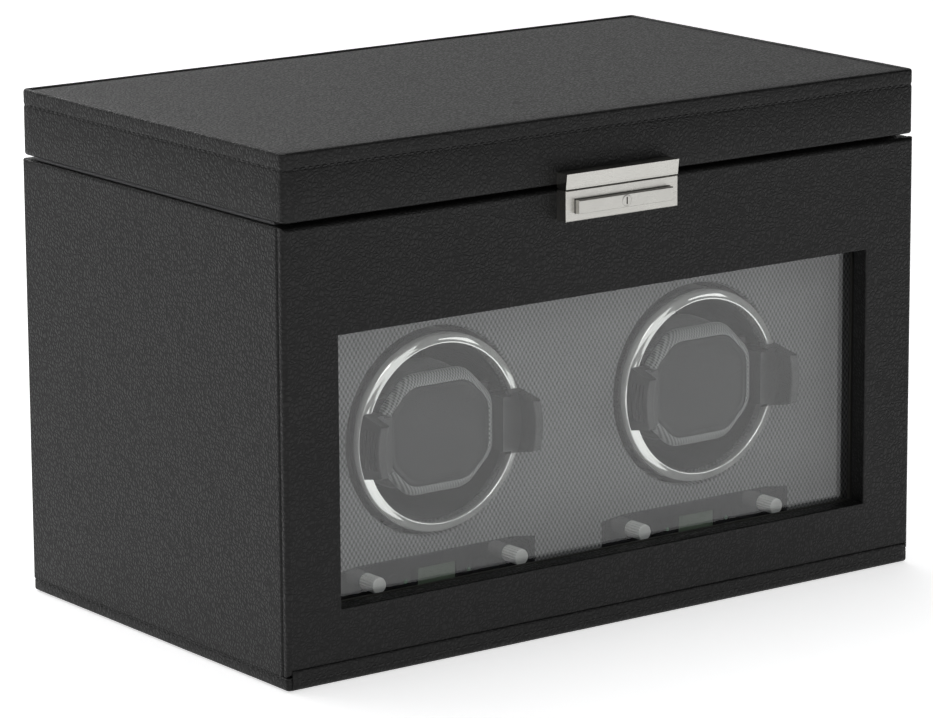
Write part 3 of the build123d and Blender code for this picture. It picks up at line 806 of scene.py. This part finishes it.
def cushion(name, body, low, high, crown, roll, down=False):
    """A thin sewn cushion with rolled edges, crowned on top, or below where it hangs."""
    spans = ((high.x - low.x) / 2, (high.y - low.y) / 2)
    middle = (low + high) / 2
    vertices = []
    side_steps = 14
    thickness = high.z - low.z
    sections = [(0.3 * MM, 0.0), (0.0, 0.15 * thickness)]
    for k in range(5):
        turn = math.pi / 2 * k / 4
        sections.append((roll * (1 - math.cos(turn)), thickness - roll + roll * math.sin(turn)))
    for k in range(1, 7):
        share = k / 6
        inset = roll + (min(spans) - roll - 2 * MM) * share
        sections.append((inset, thickness + crown * math.sin(math.pi / 2 * share)))
    for inset, level in sections:
        radius = max(2.5 * MM, min(spans) * 0.12 + 0.4 * inset)
        radius = min(radius, spans[0] - inset, spans[1] - inset)
        for x, y in rounded_rectangle(spans[0] - inset, spans[1] - inset, radius, side_steps):
            z = high.z - level if down else low.z + level
            vertices.append(Vector((middle.x + x, middle.y + y, z)))
    count = loop_count(side_steps)
    faces = loft_faces(count, len(sections))
    faces.append(tuple(range(count)))
    last = (len(sections) - 1) * count
    faces.append(tuple(last + k for k in range(count)))
    vertices = wavy(vertices, 25 * MM, 0.15 * MM)
    piece = finish_mesh(name, body, "lining_fabric", vertices, faces)
    return piece


lid_cushion = cushion("lid_cushion", "lid", lining_low, lining_high, 0.0, 3 * MM, down=True)
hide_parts("lid_lining")


def lined_board(name, start, end, thickness, bottom, top):
    """An upright padded board between two points, with a rolled top edge."""
    along = (end - start).normalized()
    across = Vector((-along.y, along.x, 0))
    half = thickness / 2
    outline = [(half, bottom)] + arc((0.0, top - half), half, 0, 180, 8) + [(-half, bottom)]
    steps = 24
    vertices, faces = [], []
    for i in range(steps + 1):
        spot = start.lerp(end, i / steps)
        vertices += [spot + across * x + Vector((0, 0, z)) for x, z in outline]
    count = len(outline)
    for i in range(steps):
        for k in range(count):
            after = (k + 1) % count
            a, b = i * count, (i + 1) * count
            faces.append((a + k, a + after, b + after, b + k))
    faces.append(tuple(range(count)))
    faces.append(tuple(steps * count + k for k in range(count)))
    return finish_mesh(name, "root", "lining_fabric", vertices, faces)


def tray():
    """The lined storage tray: rolled rim, padded dividers and a cushion in each bay."""
    low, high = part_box("tray_lining")
    wall = 2.0 * MM
    floor = low.z + wall
    half_x, half_y = (high.x - low.x) / 2, (high.y - low.y) / 2
    middle = (0.0, (low.y + high.y) / 2)
    bend = wall / 2
    profile = [(0.0, low.z)]
    profile += [(x, z) for x, z in arc((bend, high.z - bend), bend, 180, 0, 8)]
    profile += [(wall, floor + 3 * MM), (wall + 0.9 * MM, floor + 0.9 * MM), (wall + 3 * MM, floor)]
    profile += [(wall + 6 * MM, floor), (wall + 6 * MM, low.z)]
    corner = 3 * MM
    liner = swept_frame(
        "tray_liner", "root", "lining_fabric", half_x, half_y, corner, profile, "tray_lining",
        middle,
    )
    divider_x, divider_y, thick, top = 52.0 * MM, 3.0 * MM, 3.0 * MM, 189.0 * MM
    inner_x, front, back = half_x - wall, low.y + wall, high.y - wall
    for side, x in (("left", -divider_x), ("right", divider_x)):
        board = lined_board(
            f"tray_divider_{side}", Vector((x, front, 0)), Vector((x, back, 0)), thick, floor, top
        )
        outer = math.copysign(inner_x, x)
        board = lined_board(
            f"tray_cross_divider_{side}", Vector((x, divider_y, 0)), Vector((outer, divider_y, 0)),
            thick, floor, top,
        )
    gap = thick / 2 + 0.4 * MM
    bays = [("middle", -divider_x + gap, divider_x - gap, front + 0.4 * MM, back - 0.4 * MM)]
    for side, x0, x1 in (
        ("left", -inner_x + 0.4 * MM, -divider_x - gap),
        ("right", divider_x + gap, inner_x - 0.4 * MM),
    ):
        bays.append((f"{side}_front", x0, x1, front + 0.4 * MM, divider_y - gap))
        bays.append((f"{side}_back", x0, x1, divider_y + gap, back - 0.4 * MM))
    for bay, x0, x1, y0, y1 in bays:
        cushion(
            f"tray_cushion_{bay}", "root", Vector((x0, y0, floor - 1 * MM)),
            Vector((x1, y1, floor + 1.2 * MM)), 0.8 * MM, 1.2 * MM,
        )


tray()


def rim_lining():
    """Lining cloth turned out over the body's rim, under the lid."""
    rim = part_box("side_panel_right")[1]
    tray_low, tray_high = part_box("tray_lining")
    deck_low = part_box("storage_deck")[0]
    out_x, out_front, out_back = rim.x - 2.4 * MM, deck_low.y + 0.3 * MM, rim.y - 8.2 * MM
    across = out_x - tray_high.x
    edge, top = rim.z + 0.7 * MM, rim.z + 1.1 * MM
    profile = [(across, rim.z), (0.0, rim.z), (0.0, edge), (0.4 * MM, top), (across, top)]
    vertices = []
    for inset, height in profile:
        share = inset / across
        near = out_front + share * (tray_low.y - out_front)
        far = out_back + share * (tray_high.y - out_back)
        x = out_x - inset
        vertices += [
            Vector((x, near, height)), Vector((x, far, height)),
            Vector((-x, far, height)), Vector((-x, near, height)),
        ]
    faces = loft_faces(4, len(profile), wrap=True)
    cloth = "lining_fabric"
    piece = finish_mesh("rim_lining", "root", cloth, vertices, faces, smooth=False)


rim_lining()


# --- Stage, lights and camera -----------------------------------------------------------------


def stage():
    """A plain pale floor."""
    tree, shader = new_material("pale_floor")
    shade = noise_at(tree, place(tree), 0.4, 2.0)
    tone = blend_colours(tree, shade, (0.86, 0.86, 0.87), (0.88, 0.88, 0.89))
    feed(tree, shader.inputs["Base Color"], tone)
    shader.inputs["Roughness"].default_value = 0.9
    shader.inputs["Specular IOR Level"].default_value = 0.1
    shader.inputs["Emission Color"].default_value = (1.0, 1.0, 1.0, 1.0)
    shader.inputs["Emission Strength"].default_value = 0.66
    size = 14.0
    mesh = bpy.data.meshes.new("floor")
    corners = [(-size, -size, 0), (size, -size, 0), (size, size, 0), (-size, size, 0)]
    mesh.from_pydata(corners, [], [(0, 1, 2, 3)])
    floor = bpy.data.objects.new("floor", mesh)
    bpy.context.scene.collection.objects.link(floor)
    floor.data.materials.append(bpy.data.materials["pale_floor"])


def softbox(name, position, size, power):
    """A white area lamp aimed at the middle of the box."""
    lamp = bpy.data.lights.new(name, "AREA")
    lamp.shape = "RECTANGLE"
    lamp.size, lamp.size_y = size
    lamp.energy = power
    holder = bpy.data.objects.new(name, lamp)
    holder.location = position
    box_middle = Vector((0.0, 0.0, 0.11))
    aim = box_middle - Vector(position)
    holder.rotation_euler = aim.to_track_quat("-Z", "Y").to_euler()
    bpy.context.scene.collection.objects.link(holder)


def surroundings():
    """A white studio: full white to the camera, and it lights mostly from behind the box."""
    world = bpy.data.worlds.new("studio")
    world.use_nodes = True
    bpy.context.scene.world = world
    tree = world.node_tree
    tree.nodes.clear()
    direction = add(tree, "TexCoord").outputs["Generated"]
    axes = add(tree, "SeparateXYZ", {0: direction}).outputs
    aside = maths(tree, "MULTIPLY", maths(tree, "ABSOLUTE", axes[0]), -0.5)
    back = maths(tree, "ADD", maths(tree, "MULTIPLY", axes[1], 0.9), aside)
    level = spread(tree, back, 0.03, 0.85, (-0.3, 0.8))
    strength = add(tree, "Mix", data_type="FLOAT")
    feed(tree, strength.inputs[0], add(tree, "LightPath").outputs["Is Camera Ray"])
    feed(tree, strength.inputs[2], level)
    feed(tree, strength.inputs[3], 1.05)
    sky = tree.nodes.new("ShaderNodeBackground")
    sky.inputs[0].default_value = (1.0, 1.0, 0.995, 1.0)
    feed(tree, sky.inputs[1], strength.outputs[0])
    output = tree.nodes.new("ShaderNodeOutputWorld")
    tree.links.new(sky.outputs[0], output.inputs[0])


def camera():
    """The photograph's viewpoint: a long lens to the front left, looking slightly down."""
    yaw, pitch, roll = 0.633678, 0.223946, -0.0061938
    forward = Vector((
        math.sin(yaw) * math.cos(pitch), math.cos(yaw) * math.cos(pitch), -math.sin(pitch)
    ))
    right = Vector((math.cos(yaw), -math.sin(yaw), 0.0))
    up = right.cross(forward)
    tilted_right = math.cos(roll) * right + math.sin(roll) * up
    tilted_up = -math.sin(roll) * right + math.cos(roll) * up
    turn = Matrix((tilted_right, tilted_up, -forward)).transposed().to_4x4()
    lens = bpy.data.cameras.new("camera")
    lens.sensor_width = 36.0
    lens.lens = 186.82
    lens.clip_start = 0.05
    holder = bpy.data.objects.new("camera", lens)
    holder.matrix_world = Matrix.Translation((-1.24339, -1.68721, 0.57726)) @ turn
    bpy.context.scene.collection.objects.link(holder)
    bpy.context.scene.camera = holder


stage()
surroundings()
camera()
softbox("key", (-0.45, -1.9, 1.3), (0.9, 0.5), 5)
softbox("front", (0.05, -2.1, 0.75), (1.5, 0.7), 2.5)
softbox("corner", (1.5, -1.7, 0.5), (0.7, 0.6), 1.5)
softbox("card", (-2.0, -1.95, 0.75), (2.6, 1.2), 6)
softbox("left", (-1.9, 0.3, 0.9), (0.8, 1.2), 2)
softbox("back", (0.1, 1.7, 0.8), (0.9, 0.5), 4)
softbox("top", (0.0, 0.5, 1.9), (1.6, 1.4), 16)
bpy.context.scene.view_settings.view_transform = "Standard"
